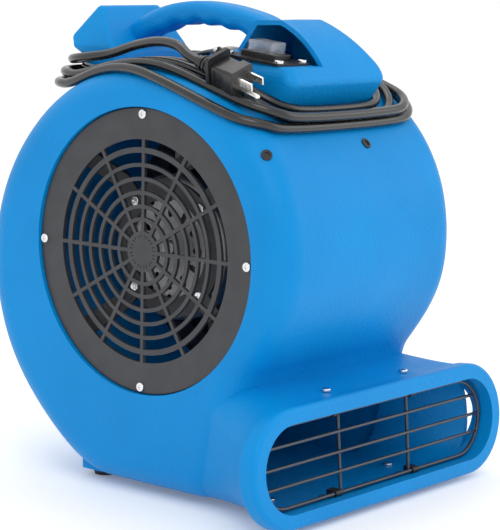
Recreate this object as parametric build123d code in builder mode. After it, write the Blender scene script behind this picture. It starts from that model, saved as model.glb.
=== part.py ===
from build123d import *
import os
from math import cos, radians, sin, sqrt, tan

os.makedirs("parts", exist_ok=True)

# ---------------------------------------------------------------------------
# Air mover: a centrifugal blower in a moulded drum, with a wide floor outlet.
# Row frame: origin on the floor under the middle of the body, +Z up, the
# outlet faces -Y and the fan turns about an axis along X.
# Most shapes are drawn in the fan frame: u forward-to-rear, v up, both from
# the fan axis, with the sketch plane's normal along +X.
# ---------------------------------------------------------------------------
AXIS_Y = -8.07
AXIS_Z = 209.0
FAN = Plane(origin=(0, AXIS_Y, AXIS_Z), x_dir=(0, 1, 0), z_dir=(1, 0, 0))

# Housing
WALL = 4.0
DRUM_HALF_WIDTH = 121.0
DRUM_EDGE_R = 26.0
DRUM_CORNER_R = 34.0
BASE_V = -203.0
BASE_REAR_U = 46.0
BASE_FRONT_U = -80.0
# volute radius at each angle, measured from the front over the top to the rear
VOLUTE = (
    (-40, 146), (-20, 149.5), (0, 153), (22, 155.5), (45, 156), (68, 153), (90, 151.5),
    (110, 157), (128, 164.5), (146, 172), (167, 182.5), (188, 192), (212, 200), (236, 205.5),
)

# Outlet duct and lip
LIP_TILT = 4.4
LIP_MID_V = -154.9
LIP_FRONT_U = -170.6
LIP_HALF_LENGTH = 172.5
LIP_HALF_HEIGHT = 49.0
LIP_DEPTH = 16.0
LIP_EDGE_R = 4.5
MOUTH_HALF_LENGTH = 158.0
MOUTH_HALF_HEIGHT = 36.0
# duct sections: place forward of the axis, half length, top, corner radius
DUCT_BOTTOM_V = -203.0
DUCT_SECTIONS = (
    (-38, 120.4, -98, 26), (-96, 125, -99, 32), (-130, 143, -104, 40), (-158, 166, -107.5, 47.5),
)

# Inlets
INLET_R = 105.0
GRILLE_R = 120.0
GRILLE_SEAT_R = 120.6
GRILLE_FACE = 118.0
GRILLE_THICKNESS = 3.0
BOSS_OUTER_R = 127.0
BOSS_DEPTH = 7.0
SCREW_CIRCLE_R = 114.6
SCREW_PILOT_R = 1.6

# Carry handle
HANDLE_HALF_WIDTH = 15.0
HANDLE_EDGE_R = 8.5
HANDLE_TOP = (
    (-50, 186), (-35, 194), (-18, 198.5), (0, 202), (20, 204.4), (38, 205.3), (62, 203.3),
    (82, 199), (100, 192), (118, 182),
)
# the underside has shallow hollows for the fingers
HANDLE_UNDER = (
    (114, 163), (100, 170), (88, 175.5), (75, 179), (62, 184.5), (50, 184), (38, 187),
    (26, 184.2), (14, 185.2), (3, 181.6), (-8, 181.4), (-20, 175.5), (-40, 166),
)

# Front cord-wrap block, which carries the switch on a ledge
FRONT_SIDE = ((-14, 120), (-14, 165), (-34, 191), (-62, 191.8))
FRONT_SLOPE_MID = (-91, 174)
FRONT_NOSE = ((-114, 143), (-97, 120), (-70, 105))
FRONT_ACROSS = ((65, 90), (65, 150), (40, 192), (36, 205))
FRONT_SIDE_R = 7.0
FRONT_CORNER_R = 9.0
LEDGE_SLOPE = 6.4
LEDGE_V = 162.0
LEDGE_U = -45.0
RECESS_WALL_X = -17.0

# Rear cord-wrap block
REAR_SIDE = ((92, 112), (100, 159), (126.5, 199), (132, 199), (156, 171), (151, 161), (132, 152), (118, 106))
REAR_ACROSS = ((50, 90), (50, 164), (37.5, 199), (37.5, 210))
REAR_SIDE_R = 5.0
REAR_CORNER_R = 4.0
BLOCK_CLEAR_V = 112.0

# Grille pattern
SLOT_FIELD_R = 93.7
RING_RADII = (84.7, 72.3, 60.8, 49.3, 37.8, 27.1, 15.6)
OUTER_RING_WIDTH = 4.6
RING_WIDTH = 3.3
SPOKE_WIDTH = 3.2
SPOKES = 12
HUB_R = 7.4
STUB_SPOKES_R = 15.6

# Pan-head screws
SCREW_R = 1.5
HEAD_R = 4.0
HEAD_HEIGHT = 2.4

# Outlet guard, in the lip's leaning plane
GUARD_BACK = 12.5
GUARD_HALF_LENGTH = 153.0
GUARD_HALF_HEIGHT = 33.2
GUARD_LOOP_R = 1.7
GUARD_WIRE_R = 1.4
GUARD_WIRE_HEIGHTS = (17.5, 0.5, -15.5)
GUARD_POST_X = 47.4
CLIP_X = 53.7
GUARD_SCREW_U = -146.3

# Switch
SWITCH_X = -42.0
SWITCH_U = -66.0
PLATE_LENGTH = 66.0
PLATE_WIDTH = 42.0
PLATE_THICKNESS = 2.0
BEZEL_LENGTH = 38.0
BEZEL_WIDTH = 22.0
BEZEL_HEIGHT = 5.0
ROCKER_WELL_LENGTH = 20.0
ROCKER_WELL_WIDTH = 13.0
ROCKER_PIVOT = 1.5
ROCKER_TILT = 9.0
COVER_LENGTH = 26.0
COVER_WIDTH = 20.0
COVER_HEIGHT = 9.0

# Motor and fan wheel, placed along the axis
MOTOR_R = 62.0
MOTOR_LEFT = -84.0
MOTOR_RIGHT = -2.0
SHAFT_R = 6.35
WHEEL_LEFT = 0.0
WHEEL_RIGHT = 92.0
WHEEL_PLATE_X = 30.0
WHEEL_R = 116.0
WHEEL_INNER_R = 97.0
BLADES = 40

# Power cord
CORD_R = 4.2


def polar(angle, radius):
    """A point of the fan frame at an angle from the front, over the top."""
    return (-radius * cos(radians(angle)), radius * sin(radians(angle)))


def world(x, u, v):
    """Row-frame point from the lateral place and the fan frame's u and v."""
    return (x, AXIS_Y + u, AXIS_Z + v)


def export(solid, name):
    """Label a finished piece and write its STEP file."""
    solid.label = name
    export_step(solid, f"parts/{name}.step")


def mirrored(points):
    """A half outline with its mirror image, as one closed list of points."""
    return list(points) + [(-x, y) for x, y in reversed(points)]


# ---------------------------------------------------------------------------
# Housing: drum, duct, lip, both cord-wrap blocks and the handle in one shell
# ---------------------------------------------------------------------------
def drum_solid(inset):
    """The scroll-shaped drum with rounded sides, drawn smaller by inset."""
    with BuildPart() as drum:
        with BuildSketch(FAN) as outline:
            with BuildLine():
                scroll = [polar(angle, radius - inset) for angle, radius in VOLUTE]
                scroll.append((BASE_REAR_U, BASE_V + inset))
                curve = Spline(*scroll, tangents=((-0.6, 0.8), (-1, 0)), tangent_scalars=(0.6, 1))
                Polyline(curve @ 1, (BASE_FRONT_U, BASE_V + inset), curve @ 0)
            make_face()
            corners = outline.vertices().filter_by(lambda corner: corner.X < -50)
            fillet(corners, DRUM_CORNER_R - inset)
        extrude(amount=DRUM_HALF_WIDTH - inset, both=True)
        fillet(drum.faces().filter_by(Axis.X).edges(), DRUM_EDGE_R - inset)
    return drum.part


def duct_solid(inset):
    """The duct's flare, lofted through rounded sections that widen forward."""
    with BuildPart() as duct:
        for u, half_length, top, corner in DUCT_SECTIONS:
            half_height = (top - DUCT_BOTTOM_V) / 2 - inset
            middle = (top + DUCT_BOTTOM_V) / 2
            station = Plane(origin=world(0, u, middle), x_dir=(1, 0, 0), z_dir=(0, -1, 0))
            with BuildSketch(station):
                RectangleRounded(
                    2 * (half_length - inset), 2 * half_height, min(corner - inset, half_height - 0.6)
                )
        loft()
    return duct.part


def lip_plane(back):
    """The lip's leaning plane, moved back from its front face."""
    front = Plane(
        origin=world(0, LIP_FRONT_U, LIP_MID_V), x_dir=(1, 0, 0), z_dir=(0, -1, 0)
    ).rotated((-LIP_TILT, 0, 0))
    return front.offset(-back)


def lip_solid():
    """The thick rounded flange round the outlet."""
    with BuildPart() as lip:
        with BuildSketch(lip_plane(LIP_DEPTH)):
            SlotOverall(2 * LIP_HALF_LENGTH, 2 * LIP_HALF_HEIGHT)
        extrude(amount=LIP_DEPTH)
        fillet(lip.faces().sort_by(Axis.Y)[0].edges(), LIP_EDGE_R)
        fillet(lip.faces().sort_by(Axis.Y)[-1].edges(), LIP_EDGE_R / 2)
    return lip.part


def end_edges(block):
    """The edges round a block's two ends that stand clear of the drum."""
    clear = block.edges().filter_by(lambda edge: edge.center().Z - AXIS_Z > BLOCK_CLEAR_V)
    outer = clear.filter_by(lambda edge: abs(edge.center().X) > HANDLE_HALF_WIDTH)
    return outer.filter_by(lambda edge: edge.bounding_box().size.X < DRUM_HALF_WIDTH / 2)


def front_block(inset):
    """Wedge that the cord is wound under in front, drawn smaller by inset."""
    with BuildPart() as block:
        with BuildSketch(FAN) as side:
            with BuildLine():
                Polyline(*FRONT_SIDE)
                ThreePointArc(FRONT_SIDE[-1], FRONT_SLOPE_MID, FRONT_NOSE[0])
                Polyline(*FRONT_NOSE, FRONT_SIDE[0])
            make_face()
            exposed = side.vertices().filter_by(lambda corner: corner.Y > 118.5)
            fillet(exposed.filter_by(lambda corner: corner.X < -13), FRONT_SIDE_R)
            offset(amount=-inset, kind=Kind.INTERSECTION)
        extrude(amount=100, both=True)
        across = Plane(origin=world(0, 0, 0), x_dir=(1, 0, 0), z_dir=(0, -1, 0))
        with BuildSketch(across) as ends:
            Polygon(*mirrored(FRONT_ACROSS), align=None)
            fillet(ends.vertices().filter_by_position(Axis.Y, 149, 151), 2 * FRONT_CORNER_R)
            offset(amount=-inset, kind=Kind.INTERSECTION)
        extrude(amount=200, both=True, mode=Mode.INTERSECT)
        if inset == 0:
            fillet(end_edges(block), FRONT_CORNER_R)
    return block.part


def rear_block(inset):
    """Upright hook that the cord is wound under behind, smaller by inset."""
    with BuildPart() as block:
        with BuildSketch(FAN) as side:
            Polygon(*REAR_SIDE, align=None)
            fillet(side.vertices().filter_by(lambda corner: corner.Y > 155), REAR_SIDE_R)
            offset(amount=-inset, kind=Kind.INTERSECTION)
        extrude(amount=100, both=True)
        across = Plane(origin=world(0, 0, 0), x_dir=(1, 0, 0), z_dir=(0, -1, 0))
        with BuildSketch(across) as ends:
            Polygon(*mirrored(REAR_ACROSS), align=None)
            fillet(ends.vertices().filter_by_position(Axis.Y, 163, 165), 2 * REAR_CORNER_R)
            offset(amount=-inset, kind=Kind.INTERSECTION)
        extrude(amount=200, both=True, mode=Mode.INTERSECT)
        if inset == 0:
            fillet(end_edges(block), REAR_CORNER_R)
    return block.part


def handle_solid():
    """The curved carry handle with finger hollows underneath."""
    with BuildPart() as handle:
        with BuildSketch(FAN):
            with BuildLine():
                over = Spline(*HANDLE_TOP)
                under = Spline(*HANDLE_UNDER)
                Line(over @ 1, under @ 0)
                Line(under @ 1, over @ 0)
            make_face()
        extrude(amount=HANDLE_HALF_WIDTH, both=True)
        long_edges = handle.edges().filter_by(GeomType.BSPLINE)
        fillet(long_edges, HANDLE_EDGE_R)
    return handle.part


def recess_tool(lower):
    """The space above the switch ledge, cut beside the handle's root."""
    rise = tan(radians(LEDGE_SLOPE))
    rear_u = 10
    front_u = -130
    with BuildPart() as tool:
        with BuildSketch(FAN.offset(RECESS_WALL_X - lower)):
            Polygon(
                (rear_u, LEDGE_V - lower + rise * (rear_u - LEDGE_U)),
                (front_u, LEDGE_V - lower + rise * (front_u - LEDGE_U)),
                (front_u, 230),
                (rear_u, 230),
                align=None,
            )
        extrude(amount=-90)
    return tool.part





def inlet_side(sign):
    """Boss ring, inlet hole, grille seat and pilot holes on one drum side."""
    face = Plane(origin=world(sign * DRUM_HALF_WIDTH, 0, 0), x_dir=(0, 1, 0), z_dir=(sign, 0, 0))
    seat_depth = DRUM_HALF_WIDTH - GRILLE_FACE + GRILLE_THICKNESS
    with BuildPart() as boss:
        with BuildSketch(face.offset(-WALL / 2)):
            Circle(BOSS_OUTER_R)
        extrude(amount=-(seat_depth + BOSS_DEPTH - WALL / 2))
    with BuildPart() as opening:
        with BuildSketch(face.offset(1)):
            Circle(GRILLE_SEAT_R)
        extrude(amount=-(seat_depth + 1))
        with BuildSketch(face.offset(-seat_depth + 1)):
            Circle(INLET_R)
        extrude(amount=-(BOSS_DEPTH + 20))
        with BuildSketch(face):
            with PolarLocations(SCREW_CIRCLE_R, 4):
                Circle(SCREW_PILOT_R)
        extrude(amount=-(seat_depth + BOSS_DEPTH + 1))
    return boss.part, opening.part


def in_plane(plane, x, y, z=0):
    """Row-frame point given in a plane's own coordinates."""
    return plane.origin + plane.x_dir * x + plane.y_dir * y + plane.z_dir * z


def on_plane(plane, x, y, z=0):
    """A plane parallel to another, moved to a point of it."""
    return Plane(origin=in_plane(plane, x, y, z), x_dir=plane.x_dir, z_dir=plane.z_dir)


def rod(start, end, radius):
    """A straight round bar between two points."""
    run = Vector(*end) - Vector(*start)
    with BuildPart() as bar:
        with BuildSketch(Plane(origin=start, z_dir=run)):
            Circle(radius)
        extrude(amount=run.length)
    return bar.part


def pan_screws(places, shank_length, head_r=HEAD_R, shank_r=SCREW_R):
    """Pan-head screws with a cross recess; each head stands on its place."""
    with BuildPart() as screws:
        with Locations(*places):
            Cylinder(head_r, HEAD_HEIGHT, align=(Align.CENTER, Align.CENTER, Align.MIN))
        tops = [edge for edge in screws.edges().filter_by(GeomType.CIRCLE) if is_head_top(edge, places)]
        fillet(tops, HEAD_HEIGHT * 0.45)
        with Locations(*places):
            Cylinder(shank_r, shank_length, align=(Align.CENTER, Align.CENTER, Align.MAX))
        with Locations(*[on_plane(place, 0, 0, HEAD_HEIGHT) for place in places]):
            Box(head_r * 1.1, head_r * 0.26, HEAD_HEIGHT, mode=Mode.SUBTRACT)
            Box(head_r * 0.26, head_r * 1.1, HEAD_HEIGHT, mode=Mode.SUBTRACT)
    return screws.part


def is_head_top(edge, places):
    """Whether a circular edge is the upper rim of one of the screw heads."""
    middle = edge.arc_center
    return any((middle - in_plane(place, 0, 0, HEAD_HEIGHT)).length < 0.01 for place in places)


# ---------------------------------------------------------------------------
# Places that several pieces share
# ---------------------------------------------------------------------------
GUARD_PLANE = lip_plane(GUARD_BACK)
SWITCH = Plane(
    origin=world(SWITCH_X, SWITCH_U, LEDGE_V + (SWITCH_U - LEDGE_U) * tan(radians(LEDGE_SLOPE))),
    x_dir=(1, 0, 0),
    z_dir=(0, -sin(radians(LEDGE_SLOPE)), cos(radians(LEDGE_SLOPE))),
)
PLATE_TOP = SWITCH.offset(PLATE_THICKNESS)
PLATE_SCREWS = [
    on_plane(PLATE_TOP, x, y)
    for x in (-(PLATE_WIDTH / 2 - 6), PLATE_WIDTH / 2 - 6)
    for y in (-(PLATE_LENGTH / 2 - 6), PLATE_LENGTH / 2 - 6)
]
PLUG_HOLES = ((-108.0, 35.7, 30.0), (18.0, 35.7, 0.0))
FOOT_X = 82.0
FOOT_U = (-112.0, 76.0)
FOOT_R = 11.0
FOOT_HEIGHT = 6.0
FOOT_BOLT_R = 2.5
GLAND = Plane(origin=world(30, -14, 160), x_dir=(1, 0, 0), z_dir=(0, 1, 0))
HOLDER = on_plane(SWITCH, -20, (-31 - SWITCH_U) / cos(radians(LEDGE_SLOPE)))


def hole_plug_plane(x, angle, lean):
    """Plane on the drum's skin at a hole, its normal leaning to the side."""
    edge_start = DRUM_HALF_WIDTH - DRUM_EDGE_R
    over = max(abs(x) - edge_start, 0)
    radius = 155.8 - DRUM_EDGE_R + sqrt(DRUM_EDGE_R**2 - over**2)
    u, v = polar(angle, radius)
    outward = (-cos(radians(angle)), sin(radians(angle)))
    side = sin(radians(lean)) * (1 if x > 0 else -1)
    flat = cos(radians(lean))
    return Plane(
        origin=world(x, u, v), x_dir=(0, outward[1], -outward[0]),
        z_dir=(side, flat * outward[0], flat * outward[1]),
    )


PLUG_PLANES = [hole_plug_plane(*place) for place in PLUG_HOLES]


def drill(radius, depth, *places):
    """Round holes of one size, sunk from their planes."""
    with BuildPart() as drills:
        with Locations(*[place.offset(1) for place in places]):
            Cylinder(radius, depth + 1, align=(Align.CENTER, Align.CENTER, Align.MAX))
    return drills.part


def foot_pads():
    """Moulded pads that carry the rear feet below the curve of the drum."""
    with BuildPart() as pads:
        with BuildSketch(Plane(origin=world(0, 0, BASE_V))):
            with Locations((-FOOT_X, FOOT_U[1]), (FOOT_X, FOOT_U[1])):
                RectangleRounded(2 * FOOT_R + 12, 2 * FOOT_R + 8, 6)
        extrude(amount=24)
    return pads.part


def foot_places(u_values):
    """Upward planes at the foot centres, on the underside of the base."""
    return [Plane(origin=world(x, u, BASE_V)) for x in (-FOOT_X, FOOT_X) for u in u_values]


def guard_screw_places():
    """Planes of the screws through the duct's floor and its roof."""
    floor = [Plane(origin=world(x, GUARD_SCREW_U, -196.0)) for x in (-CLIP_X, CLIP_X)]
    roof = [
        Plane(origin=world(x, GUARD_SCREW_U, -105.8), x_dir=(1, 0, 0), z_dir=(0, 0, 1))
        for x in (-CLIP_X, CLIP_X)
    ]
    return floor + roof


def housing_holes():
    """Every hole that a fastener, plug, switch or cord takes in the shell."""
    with BuildPart() as holes:
        with BuildSketch(SWITCH.offset(5)):
            Rectangle(ROCKER_WELL_WIDTH + 4, ROCKER_WELL_LENGTH + 4)
        extrude(amount=-20)
        add(drill(SCREW_R, 12, *[place.offset(-PLATE_THICKNESS) for place in PLATE_SCREWS]))
        add(drill(SCREW_R, 12, HOLDER))
        add(drill(3.2, 9, *PLUG_PLANES))
        add(drill(CORD_R + 1.8, 16, GLAND))
        for place in foot_places(FOOT_U):
            add(drill(FOOT_BOLT_R, 40, place.offset(30)))
        for place in guard_screw_places()[:2]:
            add(drill(SCREW_R, 10, place))
        for place in guard_screw_places()[2:]:
            add(drill(SCREW_R, 12, place))
        for place in bracket_bolt_places():
            add(drill(BRACKET_BOLT_R, 6, place.offset(-BRACKET_THICKNESS)))
    return holes.part


BRACKET_BOLT_R = 2.0
BRACKET_THICKNESS = 3.0
BRACKET_ARMS = 4
BRACKET_BOLT_CIRCLE = 113.0
BOSS_FACE_X = -(GRILLE_FACE - GRILLE_THICKNESS - BOSS_DEPTH)


def bracket_bolt_places():
    """Planes on the bracket's feet, facing inward, one for each arm."""
    places = []
    for arm in range(BRACKET_ARMS):
        u, v = polar(45 + arm * 360 / BRACKET_ARMS, BRACKET_BOLT_CIRCLE)
        places.append(
            Plane(origin=world(BOSS_FACE_X + BRACKET_THICKNESS, u, v), x_dir=(0, 1, 0), z_dir=(1, 0, 0))
        )
    return places


with BuildPart() as housing:
    add(drum_solid(0))
    add(duct_solid(0))
    add(lip_solid())
    add(front_block(0))
    add(recess_tool(0), mode=Mode.SUBTRACT)
    add(rear_block(0))
    add(handle_solid())
    add(foot_pads())
    with BuildPart(mode=Mode.PRIVATE) as hollow:
        add(drum_solid(WALL))
        add(duct_solid(WALL))
        add(front_block(WALL))
        add(recess_tool(WALL), mode=Mode.SUBTRACT)
        add(rear_block(WALL))
        with BuildSketch(lip_plane(-5)):
            SlotOverall(2 * MOUTH_HALF_LENGTH, 2 * MOUTH_HALF_HEIGHT)
        extrude(amount=-30)
    add(hollow.part, mode=Mode.SUBTRACT)
    for sign in (1, -1):
        boss, opening = inlet_side(sign)
        add(boss)
        add(opening, mode=Mode.SUBTRACT)
    add(housing_holes(), mode=Mode.SUBTRACT)
export(housing.part, "housing")


# ---------------------------------------------------------------------------
# Inlet grilles and their screws
# ---------------------------------------------------------------------------
def inlet_grille(sign):
    """A round plate with concentric rings and radial spokes."""
    seat = Plane(
        origin=world(sign * (GRILLE_FACE - GRILLE_THICKNESS), 0, 0), x_dir=(0, 1, 0), z_dir=(sign, 0, 0)
    )
    screw_places = PolarLocations(SCREW_CIRCLE_R, 4)
    with BuildPart() as grille:
        with BuildSketch(seat):
            Circle(GRILLE_R)
            Circle(SLOT_FIELD_R, mode=Mode.SUBTRACT)
            for radius in RING_RADII:
                width = OUTER_RING_WIDTH if radius == RING_RADII[0] else RING_WIDTH
                Circle(radius + width / 2)
                Circle(radius - width / 2, mode=Mode.SUBTRACT)
            Circle(HUB_R)
            with PolarLocations((SLOT_FIELD_R + 1) / 2, SPOKES):
                Rectangle(SLOT_FIELD_R + 1, SPOKE_WIDTH)
            with PolarLocations(STUB_SPOKES_R / 2, SPOKES, start_angle=180 / SPOKES):
                Rectangle(STUB_SPOKES_R, SPOKE_WIDTH * 0.7)
            with screw_places:
                Circle(SCREW_R + 0.2, mode=Mode.SUBTRACT)
        extrude(amount=GRILLE_THICKNESS)
        rim = grille.edges().filter_by(GeomType.CIRCLE).sort_by(SortBy.RADIUS)[-2:]
        fillet(rim.sort_by(Axis.X)[-1 if sign > 0 else 0], 1.0)
    return grille.part


for name, sign in (("right", 1), ("left", -1)):
    export(inlet_grille(sign), f"{name}_inlet_grille")
    outer = Plane(origin=world(sign * GRILLE_FACE, 0, 0), x_dir=(0, 1, 0), z_dir=(sign, 0, 0))
    corners = [polar(quarter * 90, SCREW_CIRCLE_R) for quarter in range(4)]
    screws = pan_screws([on_plane(outer, u, v if sign > 0 else -v) for u, v in corners], 9)
    export(screws, f"{name}_grille_screws")


# ---------------------------------------------------------------------------
# Outlet guard: welded wire, two floor clips and two roof clips
# ---------------------------------------------------------------------------
with BuildPart() as guard:
    straight = GUARD_HALF_LENGTH - GUARD_HALF_HEIGHT
    with BuildLine(GUARD_PLANE) as loop:
        Line((-straight, -GUARD_HALF_HEIGHT), (straight, -GUARD_HALF_HEIGHT))
        ThreePointArc(
            (straight, -GUARD_HALF_HEIGHT), (GUARD_HALF_LENGTH, 0), (straight, GUARD_HALF_HEIGHT)
        )
        Line((straight, GUARD_HALF_HEIGHT), (-straight, GUARD_HALF_HEIGHT))
        ThreePointArc(
            (-straight, GUARD_HALF_HEIGHT), (-GUARD_HALF_LENGTH, 0), (-straight, -GUARD_HALF_HEIGHT)
        )
    loop_start = Plane(origin=in_plane(GUARD_PLANE, -straight, -GUARD_HALF_HEIGHT), z_dir=(1, 0, 0))
    with BuildSketch(loop_start):
        Circle(GUARD_LOOP_R)
    sweep(path=loop.wire())
    for height in GUARD_WIRE_HEIGHTS:
        reach = straight + sqrt(GUARD_HALF_HEIGHT**2 - height**2)
        add(rod(in_plane(GUARD_PLANE, -reach, height), in_plane(GUARD_PLANE, reach, height), GUARD_WIRE_R))
    for x in (-GUARD_POST_X, GUARD_POST_X):
        behind = -GUARD_WIRE_R * 1.2
        low = in_plane(GUARD_PLANE, x, -GUARD_HALF_HEIGHT, behind)
        high = in_plane(GUARD_PLANE, x, GUARD_HALF_HEIGHT, behind)
        add(rod(low, high, GUARD_WIRE_R))
export(guard.part, "outlet_guard")


def guard_clip(x, side):
    """A small P-clip from the duct's skin to the guard's wire."""
    wire = in_plane(GUARD_PLANE, x, side * GUARD_HALF_HEIGHT)
    wire_u = wire.Y - AXIS_Y
    wire_v = wire.Z - AXIS_Z
    skin_v = -199.0 if side < 0 else -111.6
    with BuildPart() as clip:
        with BuildSketch(FAN.offset(x - 4.5)):
            with Locations((-149.0, skin_v - side * 1.5)):
                Rectangle(15, 3)
            with BuildLine():
                Polyline(
                    (-156.4, skin_v), (-152.5, skin_v), (-152.5, wire_v - side * 2.7),
                    (wire_u, wire_v - side * 2.7), (wire_u, wire_v + side * 2.5),
                    (-156.4, wire_v + side * 2.5), (-156.4, skin_v),
                )
            make_face()
            with Locations((wire_u, wire_v)):
                Circle(GUARD_LOOP_R + 1.05)
        extrude(amount=9)
        add(rod(in_plane(GUARD_PLANE, x - 6, side * GUARD_HALF_HEIGHT),
                in_plane(GUARD_PLANE, x + 6, side * GUARD_HALF_HEIGHT), GUARD_LOOP_R + 0.05),
            mode=Mode.SUBTRACT)
        add(drill(SCREW_R + 0.1, 30, Plane(origin=world(x, GUARD_SCREW_U, 0)).offset(skin_v + 15)),
            mode=Mode.SUBTRACT)
    return clip.part


with BuildPart() as clips:
    for x in (-CLIP_X, CLIP_X):
        for side in (-1, 1):
            add(guard_clip(x, side))
export(clips.part, "guard_clips")
floor_places = guard_screw_places()[:2]
roof_places = guard_screw_places()[2:]
with BuildPart() as guard_screws:
    add(pan_screws(floor_places, 8))
    add(pan_screws(roof_places, 9))
export(guard_screws.part, "guard_screws")


# ---------------------------------------------------------------------------
# Push-in plugs on the drum, rubber feet and their bolts
# ---------------------------------------------------------------------------
with BuildPart() as plugs:
    with Locations(*PLUG_PLANES):
        Cylinder(4.6, 1.6, align=(Align.CENTER, Align.CENTER, Align.MIN))
        Cylinder(3.0, 7, align=(Align.CENTER, Align.CENTER, Align.MAX))
    with Locations(*[place.offset(1.6) for place in PLUG_PLANES]):
        Cylinder(2.6, 0.9, align=(Align.CENTER, Align.CENTER, Align.MAX), mode=Mode.SUBTRACT)
export(plugs.part, "hole_plugs")

with BuildPart() as feet:
    with Locations(*foot_places(FOOT_U)):
        Cone(FOOT_R - 1.5, FOOT_R, FOOT_HEIGHT, align=(Align.CENTER, Align.CENTER, Align.MAX))
        Cylinder(FOOT_BOLT_R + 0.1, FOOT_HEIGHT, align=(Align.CENTER, Align.CENTER, Align.MAX),
                 mode=Mode.SUBTRACT)
    with Locations(*[place.offset(-FOOT_HEIGHT) for place in foot_places(FOOT_U)]):
        Cylinder(5.5, 3, align=(Align.CENTER, Align.CENTER, Align.MIN), mode=Mode.SUBTRACT)
export(feet.part, "rubber_feet")

# front bolts show their heads on the duct's floor, rear ones inside the drum
front_heads = [place.offset(WALL) for place in foot_places(FOOT_U[:1])]
rear_heads = [place.offset(24) for place in foot_places(FOOT_U[1:])]
with BuildPart() as foot_bolts:
    add(pan_screws(front_heads, WALL + FOOT_HEIGHT - 1, 4.6, 2.4))
    add(pan_screws(rear_heads, 24 + FOOT_HEIGHT - 1, 4.6, 2.4))
export(foot_bolts.part, "foot_bolts")

with BuildPart() as foot_nuts:
    with BuildSketch(Plane(origin=world(0, 0, BASE_V - FOOT_HEIGHT + 0.5))):
        with Locations(*[(x, u) for x in (-FOOT_X, FOOT_X) for u in FOOT_U]):
            RegularPolygon(4.4, 6)
            Circle(2.45, mode=Mode.SUBTRACT)
    extrude(amount=2.5)
export(foot_nuts.part, "foot_nuts")


# ---------------------------------------------------------------------------
# Switch on the front block's ledge
# ---------------------------------------------------------------------------
with BuildPart() as plate:
    with BuildSketch(SWITCH):
        RectangleRounded(PLATE_WIDTH, PLATE_LENGTH, 5)
        Rectangle(ROCKER_WELL_WIDTH + 3.4, ROCKER_WELL_LENGTH + 3.4, mode=Mode.SUBTRACT)
        with Locations(
            *[(x, y) for x in (-(PLATE_WIDTH / 2 - 6), PLATE_WIDTH / 2 - 6)
              for y in (-(PLATE_LENGTH / 2 - 6), PLATE_LENGTH / 2 - 6)]
        ):
            Circle(SCREW_R + 0.15, mode=Mode.SUBTRACT)
        with Locations((-20, (-31 - SWITCH_U) / cos(radians(LEDGE_SLOPE)))):
            Circle(5.8, mode=Mode.SUBTRACT)
    extrude(amount=PLATE_THICKNESS)
export(plate.part, "switch_plate")
export(pan_screws(PLATE_SCREWS, 11), "switch_plate_screws")

with BuildPart() as bezel:
    with BuildSketch(PLATE_TOP):
        RectangleRounded(BEZEL_WIDTH, BEZEL_LENGTH, 2.5)
    extrude(amount=BEZEL_HEIGHT)
    fillet(bezel.faces().sort_by(Axis(PLATE_TOP.origin, PLATE_TOP.z_dir))[-1].edges(), 1.0)
    with BuildSketch(PLATE_TOP):
        Rectangle(ROCKER_WELL_WIDTH + 3, ROCKER_WELL_LENGTH + 3)
    extrude(amount=-16)
    with BuildSketch(PLATE_TOP.offset(BEZEL_HEIGHT + 1)):
        Rectangle(ROCKER_WELL_WIDTH, ROCKER_WELL_LENGTH)
    extrude(amount=-(BEZEL_HEIGHT + 1 + 9), mode=Mode.SUBTRACT)
export(bezel.part, "switch_body")

with BuildPart() as cover:
    with BuildSketch(PLATE_TOP.offset(BEZEL_HEIGHT)):
        RectangleRounded(COVER_WIDTH, COVER_LENGTH, 2)
    extrude(amount=COVER_HEIGHT)
    fillet(cover.faces().sort_by(Axis(PLATE_TOP.origin, PLATE_TOP.z_dir))[-1].edges(), 1.2)
    with BuildSketch(PLATE_TOP.offset(BEZEL_HEIGHT)):
        RectangleRounded(COVER_WIDTH - 2.4, COVER_LENGTH - 2.4, 1)
    extrude(amount=COVER_HEIGHT - 1.2, mode=Mode.SUBTRACT)
export(cover.part, "switch_cover")

# rocker, drawn level and then tipped to its rest position
ROCKER_AXIS = Plane(
    origin=in_plane(PLATE_TOP, 0, 0, ROCKER_PIVOT),
    x_dir=PLATE_TOP.y_dir * cos(radians(ROCKER_TILT)) - PLATE_TOP.z_dir * sin(radians(ROCKER_TILT)),
    z_dir=PLATE_TOP.x_dir,
)
ROCKER_HALF = 8.8
ROCKER_RISE = 4.6
with BuildPart() as rocker:
    with BuildSketch(ROCKER_AXIS):
        with BuildLine():
            Polyline(
                (-ROCKER_HALF, ROCKER_RISE - 0.6), (-ROCKER_HALF + 0.6, ROCKER_RISE), (0, 3.2),
                (ROCKER_HALF - 0.6, ROCKER_RISE), (ROCKER_HALF, ROCKER_RISE - 0.6),
                (ROCKER_HALF - 0.8, 0), (3.5, -3.6), (-3.5, -3.6), (-ROCKER_HALF + 0.8, 0),
                (-ROCKER_HALF, ROCKER_RISE - 0.6),
            )
        make_face()
    extrude(amount=ROCKER_WELL_WIDTH / 2 - 0.5, both=True)
    with BuildSketch(ROCKER_AXIS):
        Circle(1.0)
    extrude(amount=ROCKER_WELL_WIDTH / 2 - 0.32, both=True)
export(rocker.part, "switch_rocker")

with BuildPart() as terminals:
    with BuildSketch(PLATE_TOP.offset(-16)):
        with GridLocations(6, 9, 1, 2):
            Rectangle(4.8, 0.8)
    extrude(amount=-7)
export(terminals.part, "switch_terminals")


# ---------------------------------------------------------------------------
# Motor: shell, end bells, stator, capacitor and the bracket that holds it
# ---------------------------------------------------------------------------
def axis_disc(x):
    """Sketch plane square to the fan axis at one place along it."""
    return FAN.offset(x)


SHELL_WALL = 2.5
BELL_DEPTH = 14.0
BELL_WALL = 3.0
BEARING_R = 16.0
BEARING_WIDTH = 10.0
SHAFT_CLEARANCE = 0.05
STATOR_R = MOTOR_R - SHELL_WALL - 0.1
STATOR_BORE = 33.0
ROTOR_R = 32.3

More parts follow.
